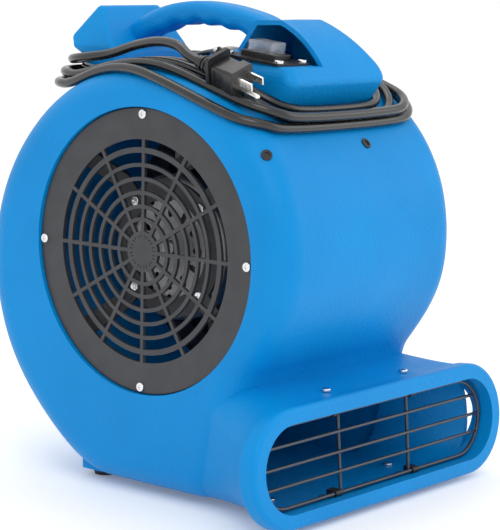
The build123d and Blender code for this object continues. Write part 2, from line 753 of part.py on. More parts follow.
with BuildPart() as motor_shell:
    with BuildSketch(axis_disc(MOTOR_LEFT + BELL_DEPTH)):
        Circle(MOTOR_R)
        Circle(MOTOR_R - SHELL_WALL, mode=Mode.SUBTRACT)
    extrude(amount=MOTOR_RIGHT - MOTOR_LEFT - 2 * BELL_DEPTH)
export(motor_shell.part, "motor_shell")


def end_bell(outer_x, inward):
    """A domed motor end with cooling slots and a bearing pocket."""
    face = Plane(origin=world(outer_x, 0, 0), x_dir=(0, 1, 0), z_dir=(-inward, 0, 0))
    with BuildPart() as bell:
        with BuildSketch(face):
            Circle(MOTOR_R)
        extrude(amount=-BELL_DEPTH)
        fillet(bell.faces().sort_by(Axis(face.origin, face.z_dir))[-1].edges(), 7)
        with BuildSketch(face.offset(-BELL_WALL)):
            Circle(MOTOR_R - SHELL_WALL)
            Circle(BEARING_R + 4, mode=Mode.SUBTRACT)
        extrude(amount=-BELL_DEPTH, mode=Mode.SUBTRACT)
        with BuildSketch(face.offset(-2)):
            Circle(BEARING_R)
        extrude(amount=-BELL_DEPTH, mode=Mode.SUBTRACT)
        with BuildSketch(face):
            Circle(SHAFT_R + 1.2)
            for ring_r, length in ((46, 13), (31, 10)):
                with PolarLocations(ring_r, 12):
                    SlotOverall(length, 5)
        extrude(amount=-BELL_DEPTH, mode=Mode.SUBTRACT)
    return bell.part


MOTOR_BOLT_CIRCLE = 52.0
MOTOR_BOLT_PLACES = []
for arm in range(BRACKET_ARMS):
    u, v = polar(45 + arm * 360 / BRACKET_ARMS, MOTOR_BOLT_CIRCLE)
    MOTOR_BOLT_PLACES.append(
        Plane(origin=world(MOTOR_LEFT - BRACKET_THICKNESS, u, v), x_dir=(0, 1, 0), z_dir=(-1, 0, 0))
    )
MOTOR_BOLT_HOLES = drill(BRACKET_BOLT_R, 20, *MOTOR_BOLT_PLACES)

with BuildPart() as left_bell:
    add(end_bell(MOTOR_LEFT, 1))
    add(MOTOR_BOLT_HOLES, mode=Mode.SUBTRACT)
export(left_bell.part, "motor_end_bell_left")
export(end_bell(MOTOR_RIGHT, -1), "motor_end_bell_right")

with BuildPart() as bearings:
    for x in (MOTOR_LEFT + 2, MOTOR_RIGHT - 2 - BEARING_WIDTH):
        with BuildSketch(axis_disc(x)):
            Circle(BEARING_R - 0.02)
            Circle(SHAFT_R + SHAFT_CLEARANCE, mode=Mode.SUBTRACT)
        extrude(amount=BEARING_WIDTH)
export(bearings.part, "motor_bearings")

STATOR_HALF = 20.0
MOTOR_MID = (MOTOR_LEFT + MOTOR_RIGHT) / 2
with BuildPart() as stator:
    with BuildSketch(axis_disc(MOTOR_MID - STATOR_HALF)):
        Circle(STATOR_R)
        Circle(STATOR_BORE, mode=Mode.SUBTRACT)
        with PolarLocations(STATOR_BORE + 8, 24):
            Rectangle(10, 3.4, mode=Mode.SUBTRACT)
    extrude(amount=2 * STATOR_HALF)
export(stator.part, "stator_core")

with BuildPart() as windings:
    for x in (MOTOR_MID - STATOR_HALF - 6, MOTOR_MID + STATOR_HALF):
        with BuildSketch(axis_disc(x)):
            Circle(STATOR_R - 9)
            Circle(STATOR_BORE + 3, mode=Mode.SUBTRACT)
        extrude(amount=6)
export(windings.part, "stator_windings")

with BuildPart() as rotor:
    with BuildSketch(axis_disc(MOTOR_MID - STATOR_HALF)):
        Circle(ROTOR_R)
        Circle(SHAFT_R + 0.01, mode=Mode.SUBTRACT)
    extrude(amount=2 * STATOR_HALF)
export(rotor.part, "rotor_core")

with BuildPart() as shaft:
    with BuildSketch(axis_disc(MOTOR_LEFT - 4)):
        Circle(SHAFT_R)
    extrude(amount=WHEEL_PLATE_X + 22 - MOTOR_LEFT + 4)
    chamfer(shaft.edges().filter_by(GeomType.CIRCLE), 0.8)
export(shaft.part, "motor_shaft")

BRACKET_RING_R = 56.0
BRACKET_RING_X = MOTOR_LEFT - BRACKET_THICKNESS
with BuildPart() as bracket:
    with BuildSketch(axis_disc(BRACKET_RING_X)):
        Circle(BRACKET_RING_R + 2)
        Circle(BRACKET_RING_R - 14, mode=Mode.SUBTRACT)
    extrude(amount=BRACKET_THICKNESS)
    for arm in range(BRACKET_ARMS):
        u, v = polar(45 + arm * 360 / BRACKET_ARMS, 1)
        spoke = Plane(origin=world(0, 0, 0), x_dir=(0, u, v), z_dir=(0, -v, u))
        side = 1 if in_plane(spoke, 0, 1).X > 0 else -1
        with BuildSketch(spoke.offset(-8)):
            ring_x = side * BRACKET_RING_X
            foot_x = side * BOSS_FACE_X
            thick = side * BRACKET_THICKNESS
            Polygon(
                (50, ring_x), (74, ring_x), (102, foot_x), (121, foot_x),
                (121, foot_x + thick), (104, foot_x + thick), (76, ring_x + thick),
                (50, ring_x + thick), align=None,
            )
        extrude(amount=16)
    for place in bracket_bolt_places():
        add(drill(BRACKET_BOLT_R + 0.1, 8, place), mode=Mode.SUBTRACT)
    add(MOTOR_BOLT_HOLES, mode=Mode.SUBTRACT)
export(bracket.part, "motor_bracket")
export(pan_screws(bracket_bolt_places(), 8, 4.4, BRACKET_BOLT_R - 0.05), "bracket_bolts")

with BuildPart() as motor_bolts:
    add(pan_screws(MOTOR_BOLT_PLACES, 12, 4.4, BRACKET_BOLT_R - 0.05))
export(motor_bolts.part, "motor_bolts")

# run capacitor, strapped on top of the motor shell
CAP_R = 14.0
CAP_HALF = 22.0
CAP_V = MOTOR_R + CAP_R + 0.6
with BuildPart() as capacitor:
    with BuildSketch(Plane(origin=world(MOTOR_MID - CAP_HALF, 0, CAP_V), z_dir=(1, 0, 0))):
        Circle(CAP_R)
    extrude(amount=2 * CAP_HALF)
    fillet(capacitor.edges().filter_by(GeomType.CIRCLE), 1.5)
export(capacitor.part, "capacitor")

with BuildPart() as strap:
    with BuildSketch(Plane(origin=world(MOTOR_MID - 6, 0, 0), x_dir=(0, 1, 0), z_dir=(1, 0, 0))):
        with Locations((0, CAP_V)):
            Circle(CAP_R + 1.3)
        with Locations((0, MOTOR_R + 5)):
            Rectangle(2 * CAP_R + 2.6, 2 * (CAP_R - 4))
        with Locations((0, MOTOR_R + 1)):
            Rectangle(2 * CAP_R + 24, 4)
        Circle(MOTOR_R + 0.02, mode=Mode.SUBTRACT)
        with Locations((0, CAP_V)):
            Circle(CAP_R + 0.02, mode=Mode.SUBTRACT)
        with Locations((0, MOTOR_R + 5)):
            Rectangle(2 * CAP_R, 8, mode=Mode.SUBTRACT)
    extrude(amount=12)
export(strap.part, "capacitor_strap")


# ---------------------------------------------------------------------------
# Fan wheel: forward-curved blades between two rims, on a plate and hub
# ---------------------------------------------------------------------------
RIM_WIDTH = 4.0
BLADE_THICKNESS = 1.4
PLATE_GAUGE = 2.0
HUB_OUTER_R = 16.0
HUB_LEFT = WHEEL_PLATE_X - 12
HUB_RIGHT = WHEEL_PLATE_X + 16
SET_SCREW_R = 2.0
SET_SCREW_X = WHEEL_PLATE_X + 9

with BuildPart() as wheel:
    with BuildSketch(axis_disc(WHEEL_LEFT)):
        with PolarLocations(0, BLADES):
            with BuildLine():
                inner = (WHEEL_INNER_R, 0)
                middle = (WHEEL_INNER_R + 9, 3.2)
                outer = (WHEEL_R - 1, 11.5)
                first = ThreePointArc(inner, middle, outer)
                offset(first, amount=BLADE_THICKNESS / 2)
            make_face()
    extrude(amount=WHEEL_RIGHT - WHEEL_LEFT)
    for x in (WHEEL_LEFT, WHEEL_RIGHT - RIM_WIDTH):
        with BuildSketch(axis_disc(x)):
            Circle(WHEEL_R + 2)
            Circle(WHEEL_INNER_R - 1, mode=Mode.SUBTRACT)
        extrude(amount=RIM_WIDTH)
    with BuildSketch(axis_disc(WHEEL_PLATE_X)):
        Circle(WHEEL_R)
        Circle(HUB_OUTER_R - 4, mode=Mode.SUBTRACT)
        with PolarLocations(58, 6):
            Circle(11, mode=Mode.SUBTRACT)
    extrude(amount=PLATE_GAUGE)
export(wheel.part, "fan_wheel")

with BuildPart() as hub:
    with BuildSketch(axis_disc(HUB_LEFT)):
        Circle(HUB_OUTER_R - 4.02)
    extrude(amount=HUB_RIGHT - HUB_LEFT)
    with BuildSketch(axis_disc(WHEEL_PLATE_X + PLATE_GAUGE)):
        Circle(HUB_OUTER_R + 6)
    extrude(amount=4)
    with BuildSketch(axis_disc(HUB_LEFT)):
        Circle(SHAFT_R + 0.01)
    extrude(amount=HUB_RIGHT - HUB_LEFT, mode=Mode.SUBTRACT)
    with BuildSketch(Plane(origin=world(SET_SCREW_X, 0, 0))):
        Circle(SET_SCREW_R)
    extrude(amount=HUB_OUTER_R, mode=Mode.SUBTRACT)
export(hub.part, "fan_hub")

with BuildPart() as set_screw:
    with BuildSketch(Plane(origin=world(SET_SCREW_X, 0, SHAFT_R + 0.05))):
        Circle(SET_SCREW_R - 0.02)
    extrude(amount=5)
    with BuildSketch(Plane(origin=world(SET_SCREW_X, 0, SHAFT_R + 5.05))):
        RegularPolygon(1.1, 6)
    extrude(amount=-2, mode=Mode.SUBTRACT)
export(set_screw.part, "hub_set_screw")


# ---------------------------------------------------------------------------
# Power cord: gland, lead, wrapped bundle, tail and plug
# ---------------------------------------------------------------------------
def tube(points, radii, radius):
    """A round cord along straight runs joined by turns of the given radii."""
    with BuildPart() as result:
        with BuildLine() as route:
            FilletPolyline(*points, radius=radii)
        with BuildSketch(Plane(origin=route.line @ 0, z_dir=route.line % 0)):
            Circle(radius)
        sweep()
    return result.part


def turn_radii(points, share=0.45):
    """Largest turn radius each corner can take on its shorter run."""
    radii = []
    for before, corner, after in zip(points, points[1:], points[2:]):
        first = Vector(*corner) - Vector(*before)
        second = Vector(*after) - Vector(*corner)
        half_turn = radians(first.get_angle(second)) / 2
        radii.append(share * min(first.length, second.length) / tan(half_turn))
    return radii


PLUG_PITCH = 17.0
PLUG_ROLL = 23.0
PLUG = Plane(
    origin=world(-100, -91, 145),
    x_dir=(
        cos(radians(PLUG_ROLL)), -sin(radians(PLUG_ROLL)) * sin(radians(PLUG_PITCH)),
        sin(radians(PLUG_ROLL)) * cos(radians(PLUG_PITCH)),
    ),
    z_dir=(0, -cos(radians(PLUG_PITCH)), -sin(radians(PLUG_PITCH))),
)
# upright web beside the ledge's corner, outlined in u and v
GUSSET = ((-38.6, 170.2), (-55.7, 157.5), (-54, 155.5), (-43.8, 154.5), (-34.9, 162.3))
GUSSET_X = -70.5
LEAD_ROUTE = [
    world(*place) for place in
    ((30, -14, 160), (30, 12, 160), (40, 38, 160.5), (58, 58, 160), (72, 80, 157))
]
TAIL_ROUTE = [in_plane(PLUG, 0, 0, -49), in_plane(PLUG, 0, 0, -60)] + [
    world(*place) for place in
    ((-96, -20, 171), (-90, 8, 174), (-82, 45, 168.5), (-73, 80, 157), (-66, 100, 150))
]
GLAND_LENGTH = 8.0
lead_run = tube([GLAND.offset(GLAND_LENGTH).origin] + LEAD_ROUTE[1:], turn_radii(LEAD_ROUTE), CORD_R)
tail_run = tube(TAIL_ROUTE, turn_radii(TAIL_ROUTE), CORD_R)

BUNDLE_BAND = (
    (-128, 98), (-100, 98), (-60, 115), (-20, 128), (20, 140), (60, 142), (100, 134), (158, 130),
    (158, 150), (110, 152), (60, 160), (10, 165), (-20, 156), (-45, 143), (-60, 138), (-75, 130),
    (-100, 123), (-128, 116),
)
with BuildPart() as bundle:
    with BuildSketch(Plane(origin=world(0, 14, 60))):
        RectangleRounded(250, 276, 60)
        RectangleRounded(133, 229, 22, mode=Mode.SUBTRACT)
    extrude(amount=160)
    with BuildSketch(FAN):
        with BuildLine():
            Polyline(*BUNDLE_BAND, close=True)
        make_face()
    extrude(amount=140, both=True, mode=Mode.INTERSECT)
    add(drum_solid(-0.4), mode=Mode.SUBTRACT)
    add(front_block(-0.5), mode=Mode.SUBTRACT)
    add(rear_block(-0.5), mode=Mode.SUBTRACT)
export(bundle.part, "cord_bundle")

with BuildPart() as gland:
    with BuildSketch(GLAND.offset(-8)):
        Circle(5.9)
    extrude(amount=8)
    with BuildSketch(GLAND):
        Circle(7)
    extrude(amount=2.5)
    with Locations(GLAND.offset(2.5)):
        Cone(6.6, CORD_R + 1, GLAND_LENGTH - 2.5, align=(Align.CENTER, Align.CENTER, Align.MIN))
export(gland.part, "cord_gland")
export(lead_run, "cord_lead")
export(tail_run, "cord_tail")

SUPPLY_ROUTE = [world(*place) for place in ((30, -22.2, 160), (30, -32, 160), (16, -48, 140), (-40, -64, 132))]
export(tube(SUPPLY_ROUTE, turn_radii(SUPPLY_ROUTE), 3.5), "supply_lead")
MOTOR_LEAD_ROUTE = [world(*place) for place in ((-46, -66, 137), (-50, -66, 112), (-46, -52, 68), (-43, -38.4, 49.5))]
export(tube(MOTOR_LEAD_ROUTE, turn_radii(MOTOR_LEAD_ROUTE), 3), "motor_lead")


# ---------------------------------------------------------------------------
# Plug, hanging beside the switch ledge, and the holder screwed to the ledge
# ---------------------------------------------------------------------------
PLUG_BODY_LENGTH = 25.0
PLUG_NECK_END = 49.0
BLADE_SPACING = 12.7
BLADE_ROW_Y = 4.0
GROUND_PIN_Y = BLADE_ROW_Y - 11.9

with BuildPart() as plug:
    with BuildSketch(PLUG):
        RectangleRounded(25, 24, 3)
    extrude(amount=-9)
    with BuildSketch(PLUG.offset(-9)):
        RectangleRounded(22, 20.5, 3)
    extrude(amount=9 - PLUG_BODY_LENGTH)
    with BuildSketch(PLUG.offset(-PLUG_BODY_LENGTH)):
        Circle(7.6)
    extrude(amount=-7)
    with Locations(PLUG.offset(-PLUG_NECK_END)):
        Cone(CORD_R + 1.1, 6.6, PLUG_NECK_END - 30, align=(Align.CENTER, Align.CENTER, Align.MIN))
    for step in range(3):
        with BuildSketch(PLUG.offset(-36 - 4 * step)):
            Circle(7.7 - 0.5 * step)
        extrude(amount=1.8)
    fillet(plug.faces().sort_by(Axis(PLUG.origin, PLUG.z_dir))[-1].edges(), 0.8)
    for x in (-11, 11):
        with Locations(on_plane(PLUG, x, 0, -17)):
            Box(1.6, 15, 9, mode=Mode.SUBTRACT)
    for x in (-BLADE_SPACING / 2, BLADE_SPACING / 2):
        with Locations(on_plane(PLUG, x, BLADE_ROW_Y)):
            Box(1.5, 6.35, 12, mode=Mode.SUBTRACT)
    with Locations(on_plane(PLUG, 0, GROUND_PIN_Y)):
        Cylinder(2.4, 12, mode=Mode.SUBTRACT)
export(plug.part, "plug_body")

with BuildPart() as blades:
    for x in (-BLADE_SPACING / 2, BLADE_SPACING / 2):
        with Locations(on_plane(PLUG, x, BLADE_ROW_Y, -6)):
            Box(1.5, 6.35, 23, align=(Align.CENTER, Align.CENTER, Align.MIN))
    tips = blades.faces().sort_by(Axis(PLUG.origin, PLUG.z_dir))[-2:]
    chamfer(tips[0].edges() + tips[1].edges(), 0.5)
export(blades.part, "plug_blades")

with BuildPart() as ground_pin:
    with Locations(on_plane(PLUG, 0, GROUND_PIN_Y, -6)):
        Cylinder(2.4, 24, align=(Align.CENTER, Align.CENTER, Align.MIN))
    fillet(ground_pin.faces().sort_by(Axis(PLUG.origin, PLUG.z_dir))[-1].edges(), 2.2)
export(ground_pin.part, "plug_ground_pin")

HOLDER_PLATE = PLUG.offset(-PLUG_BODY_LENGTH - 0.3)
HOLDER_ARM_END = (-28, -34)
with BuildPart() as holder:
    with BuildSketch(HOLDER_PLATE):
        with Locations((0, 2.5)):
            RectangleRounded(26, 27, 3)
        Circle(8.0, mode=Mode.SUBTRACT)
    extrude(amount=-3.5)
    with BuildSketch(FAN.offset(GUSSET_X)):
        with BuildLine():
            Polyline(*GUSSET, close=True)
        make_face()
    extrude(amount=3)
    with BuildSketch(HOLDER):
        with BuildLine():
            Polyline((-3, 4.5), (-5, -2), (HOLDER_ARM_END[0] + 3.5, HOLDER_ARM_END[1] - 2.5),
                     (HOLDER_ARM_END[0] - 3, HOLDER_ARM_END[1] + 3), close=True)
        make_face()
        Circle(5.2)
        Circle(SCREW_R + 0.15, mode=Mode.SUBTRACT)
    extrude(amount=2.5)
export(holder.part, "plug_holder")
export(pan_screws([on_plane(HOLDER, 0, 0, 2.5)], 12), "plug_holder_screw")
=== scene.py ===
from math import acos, cos, degrees, radians, sin, sqrt

import bpy
from mathutils import Matrix, Vector

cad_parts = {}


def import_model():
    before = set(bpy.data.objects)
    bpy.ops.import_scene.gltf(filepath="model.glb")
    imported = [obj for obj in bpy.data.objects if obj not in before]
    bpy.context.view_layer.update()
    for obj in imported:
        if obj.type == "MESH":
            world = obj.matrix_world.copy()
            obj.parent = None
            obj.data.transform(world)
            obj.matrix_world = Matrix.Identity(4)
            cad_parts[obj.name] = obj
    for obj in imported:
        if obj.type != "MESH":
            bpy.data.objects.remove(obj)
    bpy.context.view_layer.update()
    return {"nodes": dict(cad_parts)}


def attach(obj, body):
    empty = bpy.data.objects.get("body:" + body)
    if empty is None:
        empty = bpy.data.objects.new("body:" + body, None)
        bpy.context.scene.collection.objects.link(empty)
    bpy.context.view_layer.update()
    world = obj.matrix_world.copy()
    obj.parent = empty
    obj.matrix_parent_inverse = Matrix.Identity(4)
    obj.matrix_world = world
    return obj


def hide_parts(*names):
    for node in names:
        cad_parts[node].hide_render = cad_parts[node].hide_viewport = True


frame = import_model()
NODES = frame["nodes"]
MM = 0.001
AXIS_Y = -8.07  # the fan axis, mm from the object's middle
AXIS_Z = 209.0  # and above the floor


def world(x, u, v):
    """Row-frame point in metres from lateral, forward-to-rear and upward mm off the fan axis."""
    return Vector((x, AXIS_Y + u, AXIS_Z + v)) * MM


# ---------------------------------------------------------------------------
# Materials
# ---------------------------------------------------------------------------
def linear(*srgb):
    """Linear colour from 8-bit screen values."""
    result = []
    for value in srgb:
        value = value / 255
        result.append(value / 12.92 if value < 0.04045 else ((value + 0.055) / 1.055) ** 2.4)
    return (*result, 1)


def new_material(name, color, roughness, metallic=0.0, coat=0.0):
    material = bpy.data.materials.new(name)
    material.use_nodes = True
    shader = material.node_tree.nodes["Principled BSDF"]
    shader.inputs["Base Color"].default_value = color
    shader.inputs["Roughness"].default_value = roughness
    shader.inputs["Metallic"].default_value = metallic
    shader.inputs["Coat Weight"].default_value = coat
    return material, material.node_tree, shader


def object_coordinates(tree):
    return tree.nodes.new("ShaderNodeTexCoord").outputs["Object"]


def noise(tree, scale, detail=4.0):
    texture = tree.nodes.new("ShaderNodeTexNoise")
    texture.inputs["Scale"].default_value = scale
    texture.inputs["Detail"].default_value = detail
    tree.links.new(object_coordinates(tree), texture.inputs["Vector"])
    return texture.outputs["Fac"]


def pebbles(tree, scale):
    texture = tree.nodes.new("ShaderNodeTexVoronoi")
    texture.feature = "SMOOTH_F1"
    texture.inputs["Scale"].default_value = scale
    tree.links.new(object_coordinates(tree), texture.inputs["Vector"])
    return texture.outputs["Distance"]


def vary_color(tree, shader, dark, light, scale):
    """Blend two close colours with broad noise."""
    ramp = tree.nodes.new("ShaderNodeValToRGB")
    ramp.color_ramp.elements[0].position = 0.35
    ramp.color_ramp.elements[0].color = dark
    ramp.color_ramp.elements[1].position = 0.65
    ramp.color_ramp.elements[1].color = light
    tree.links.new(noise(tree, scale), ramp.inputs["Fac"])
    tree.links.new(ramp.outputs["Color"], shader.inputs["Base Color"])


def vary_roughness(tree, shader, low, high, scale):
    spread = tree.nodes.new("ShaderNodeMapRange")
    spread.inputs["From Min"].default_value = 0.3
    spread.inputs["From Max"].default_value = 0.7
    spread.inputs["To Min"].default_value = low
    spread.inputs["To Max"].default_value = high
    tree.links.new(noise(tree, scale), spread.inputs["Value"])
    tree.links.new(spread.outputs["Result"], shader.inputs["Roughness"])


def add_bump(tree, shader, height, strength, distance):
    bump = tree.nodes.new("ShaderNodeBump")
    bump.inputs["Strength"].default_value = strength
    bump.inputs["Distance"].default_value = distance
    tree.links.new(height, bump.inputs["Height"])
    tree.links.new(bump.outputs["Normal"], shader.inputs["Normal"])


def grained_plastic(name, dark, light, roughness, grain, strength, distance):
    """Moulded plastic with a leather-like grain."""
    material, tree, shader = new_material(name, light, roughness)
    vary_color(tree, shader, dark, light, scale=9)
    vary_roughness(tree, shader, roughness - 0.05, roughness + 0.06, scale=40)
    shader.inputs["Specular IOR Level"].default_value = 0.16
    add_bump(tree, shader, pebbles(tree, grain), strength, distance)
    return material


def smooth_plastic(name, dark, light, roughness, coat=0.0):
    material, tree, shader = new_material(name, light, roughness, coat=coat)
    vary_color(tree, shader, dark, light, scale=60)
    vary_roughness(tree, shader, roughness - 0.04, roughness + 0.05, scale=120)
    add_bump(tree, shader, noise(tree, scale=900), strength=0.12, distance=0.0002)
    return material


def metal(name, color, roughness, scale=300):
    material, tree, shader = new_material(name, color, roughness, metallic=1.0)
    vary_roughness(tree, shader, max(roughness - 0.06, 0.03), roughness + 0.08, scale)
    add_bump(tree, shader, noise(tree, scale * 4), strength=0.08, distance=0.0001)
    return material


def clear_plastic(name):
    material, tree, shader = new_material(name, (0.9, 0.94, 0.97, 1), 0.12)
    shader.inputs["Transmission Weight"].default_value = 0.85
    shader.inputs["Alpha"].default_value = 0.55
    shader.inputs["IOR"].default_value = 1.4
    add_bump(tree, shader, noise(tree, scale=260), strength=0.1, distance=0.0003)
    return material


def brushed(name, color, roughness):
    """Metal with fine lines across X."""
    material, tree, shader = new_material(name, color, roughness, metallic=1.0)
    mapping = tree.nodes.new("ShaderNodeMapping")
    mapping.inputs["Scale"].default_value = (900, 60, 60)
    tree.links.new(object_coordinates(tree), mapping.inputs["Vector"])
    lines = tree.nodes.new("ShaderNodeTexNoise")
    lines.inputs["Scale"].default_value = 1.5
    tree.links.new(mapping.outputs["Vector"], lines.inputs["Vector"])
    add_bump(tree, shader, lines.outputs["Fac"], strength=0.25, distance=0.0002)
    return material


BLUE = grained_plastic(
    "blue shell", linear(0, 128, 196), linear(0, 134, 204), 0.42,
    grain=480, strength=0.35, distance=0.0008,
)
GRILLE = smooth_plastic("grille black", linear(44, 45, 49), linear(52, 53, 57), 0.42)
NYLON = smooth_plastic("black nylon", linear(18, 18, 20), linear(28, 28, 31), 0.45)
SWITCH = smooth_plastic("switch black", linear(16, 16, 18), linear(24, 24, 27), 0.4)
GLOSS = smooth_plastic("gloss black", linear(12, 12, 14), linear(18, 18, 20), 0.2, 0.4)
RUBBER = smooth_plastic("rubber", linear(22, 22, 24), linear(34, 34, 36), 0.6)
PLUG = smooth_plastic("plug vinyl", linear(20, 20, 22), linear(30, 30, 33), 0.33, 0.15)
JACKET = smooth_plastic("cord jacket", linear(14, 14, 16), linear(22, 22, 24), 0.26, 0.35)
SCREW = metal("bright zinc", (0.78, 0.78, 0.79, 1), 0.16)
WIRE = smooth_plastic("coated wire", linear(30, 36, 48), linear(40, 46, 60), 0.3, 0.3)
BLADE = metal("nickel", (0.86, 0.84, 0.79, 1), 0.28)
BRASS = metal("brass", (0.7, 0.52, 0.22, 1), 0.3)
STEEL = brushed("steel", (0.42, 0.42, 0.43, 1), 0.35)
CAST = metal("cast aluminium", (0.36, 0.36, 0.37, 1), 0.48, 150)
PAINT = smooth_plastic("grey paint", linear(70, 71, 75), linear(84, 85, 89), 0.4)
SHEET = smooth_plastic("dark coated sheet", linear(40, 41, 46), linear(54, 55, 60), 0.4)
COPPER = metal("varnished copper", (0.6, 0.28, 0.12, 1), 0.35)
CLEAR = clear_plastic("clear cover")

LOOKS = {
    "housing": BLUE, "left_inlet_grille": GRILLE, "right_inlet_grille": GRILLE,
    "outlet_guard": WIRE, "guard_clips": NYLON, "hole_plugs": NYLON, "rubber_feet": RUBBER,
    "switch_plate": SWITCH, "switch_body": SWITCH, "switch_cover": CLEAR, "switch_rocker": GLOSS,
    "switch_terminals": BRASS, "motor_shell": PAINT, "motor_end_bell_left": CAST,
    "motor_end_bell_right": CAST, "motor_bearings": STEEL, "stator_core": STEEL,
    "stator_windings": COPPER, "rotor_core": STEEL, "motor_shaft": STEEL, "motor_bracket": SHEET,
    "capacitor": GLOSS, "capacitor_strap": SHEET, "fan_wheel": SHEET, "fan_hub": CAST,
    "cord_gland": NYLON, "supply_lead": JACKET, "motor_lead": JACKET, "plug_body": PLUG,
    "plug_blades": BLADE, "plug_ground_pin": BLADE, "plug_holder": NYLON,
}
SMOOTH_ANGLE = radians(35)
BEVEL_ANGLE = radians(40)
GRILLE_EDGE = 0.5 * MM


def soften(node, width):
    """A small rounded edge that catches the light."""
    bevel = node.modifiers.new("edge", "BEVEL")
    bevel.width = width
    bevel.segments = 2
    bevel.limit_method = "ANGLE"
    bevel.angle_limit = BEVEL_ANGLE
    bevel.harden_normals = False


def shade_smooth(node):
    for polygon in node.data.polygons:
        polygon.use_smooth = True
    node.data.set_sharp_from_angle(angle=SMOOTH_ANGLE)


for name, node in NODES.items():
    node.data.materials.clear()
    node.data.materials.append(LOOKS.get(name, SCREW))
    shade_smooth(node)
    if name.endswith("inlet_grille"):
        soften(node, GRILLE_EDGE)


# ---------------------------------------------------------------------------
# Power cord: lead from the gland, four turns round both blocks, tail to the plug
# ---------------------------------------------------------------------------
CORD_R = 4.2
CORD_GAP = 0.5  # air kept between the drum and the cord
DRUM_EDGE_X = 95.0  # where the drum's rounded side edge starts
DRUM_EDGE_R = 26.0
# the drum's outline: angle from the front and distance from the fan axis
VOLUTE = (
    (22, 155.5), (45, 156), (68, 153), (90, 151.5), (110, 157), (128, 164.5), (146, 172),
)
# each turn's rear crossing under the hook (u, v), stacked like pipes; the last one is the tail
REAR = ((135.6, 147.2), (134.0, 138.0), (144.0, 142.6), (142.6, 133.4), (144.8, 151.8))
# each turn's front crossing under the nose: angle from the front and height off the drum
FRONT = ((48.3, 0.0), (45.0, 0.0), (43.4, 7.8), (41.8, 0.0))
# half widths of the first turn, and how much wider each later one is
LEFT_X = 80.0
LEFT_PITCH = 13.0
LEFT_REAR_X = 72.0
LEFT_REAR_PITCH = 8.9
RIGHT_X = 85.0
RIGHT_PITCH = 9.9
REAR_CORNER = 38.0
FRONT_CORNER = 38.0
REAR_X = 20.0
SIDE_U = (60, 20, -20)
CORNER_STEPS = (0, 30, 60, 90)
LIFT_BY_STEP = 60  # a front corner has its full lift by this step
DRAPE_ROUNDS = 6
RISE_FROM = 55.0  # a turn starts to rise at this u and is up this far before its crossing
RISE_SHORT = 12.0
LEAD = ((30, -6, 160), (30, 12, 160), (40, 38, 160.5), (58, 58, 160), (71, 80, 157))
LEAD_CORNER_X = 76.0
LEAD_RISE_FROM = 95.0
LEAD_RISE_RUN = 35.0
TAIL = ((-77, 78, 159), (-82, 45, 168.5), (-90, 8, 174), (-96, -20, 171))
TAIL_CORNER_X = 80.0
TAIL_DROP_FROM = 105.0
TAIL_DROP_RUN = 38.0
CORNER_LOW = 155.5  # height of the lead and the tail beside the rear block
PLUG_FACE = (-100, -91, 145)
PLUG_PITCH = radians(17)
PLUG_NECK = 49.0  # from the plug's face back to where the cord enters it
PLUG_STRAIGHT = 12.0


def between(low, high, share):
    return low + (high - low) * share


def smooth(share):
    share = min(max(share, 0), 1)
    return share * share * (3 - 2 * share)


def drum_radius(angle):
    for (low, first), (high, second) in zip(VOLUTE, VOLUTE[1:]):
        if angle <= high:
            return between(first, second, (angle - low) / (high - low))
    return VOLUTE[-1][1]


def cord_radius(x, angle, lift):
    """Distance from the fan axis of a cord that lies on the drum."""
    reach = DRUM_EDGE_R + CORD_R + CORD_GAP
    over = max(abs(x) - DRUM_EDGE_X, 0)
    return drum_radius(angle) - DRUM_EDGE_R + sqrt(reach**2 - over**2) + lift


def draped(x, u, lift):
    """Height of a cord that lies on the drum at a place in plan."""
    angle = 90.0
    for _ in range(DRAPE_ROUNDS):
        radius = cord_radius(x, angle, lift)
        angle = degrees(acos(max(min(-u / radius, 1), -1)))
    return radius * sin(radians(angle))


def rear_point(x, u, crossing):
    """A point near the rear block, rising from the drum to the crossing's height."""
    rise = smooth((u - RISE_FROM) / (crossing[0] - RISE_FROM - RISE_SHORT))
    return (x, u, between(draped(x, u, 0), crossing[1], rise))


def rear_corner(half_width, crossing, side):
    """From the rear crossing round to one side."""
    points = []
    for step in CORNER_STEPS:
        x = half_width - REAR_CORNER + REAR_CORNER * sin(radians(step))
        u = crossing[0] - REAR_CORNER + REAR_CORNER * cos(radians(step))
        points.append(rear_point(side * x, u, crossing))
    return points


def front_corner(half_width, crossing, side):
    """From one side round to the front crossing."""
    angle, lift = crossing
    front_u = -cord_radius(0, angle, lift) * cos(radians(angle))
    points = []
    for step in CORNER_STEPS:
        x = half_width - FRONT_CORNER + FRONT_CORNER * cos(radians(step))
        u = front_u + FRONT_CORNER - FRONT_CORNER * sin(radians(step))
        points.append((side * x, u, draped(x, u, lift * smooth(step / LIFT_BY_STEP))))
    return points


def side_run(rear_width, front_width, side):
    """Along one side of the drum, spreading from the rear width to the front one."""
    points = []
    for step, u in enumerate(SIDE_U):
        half_width = between(rear_width, front_width, (step + 1) / len(SIDE_U))
        points.append((side * half_width, u, draped(half_width, u, 0)))
    return points


def turn(number):
    """One turn: rear crossing, left side, front, right side, and back to the rear."""
    left_x = LEFT_X + number * LEFT_PITCH
    left_rear_x = LEFT_REAR_X + number * LEFT_REAR_PITCH
    right_x = RIGHT_X + number * RIGHT_PITCH
    u, v = REAR[number]
    points = [(REAR_X, u, v), (-REAR_X, u, v)]
    points += rear_corner(left_rear_x, REAR[number], -1)
    points += side_run(left_rear_x, left_x, -1)
    points += front_corner(left_x, FRONT[number], -1)
    points += front_corner(right_x, FRONT[number], 1)[::-1]
    points += side_run(right_x, right_x, 1)[::-1]
    points += rear_corner(right_x, REAR[number + 1], 1)[::-1]
    return points


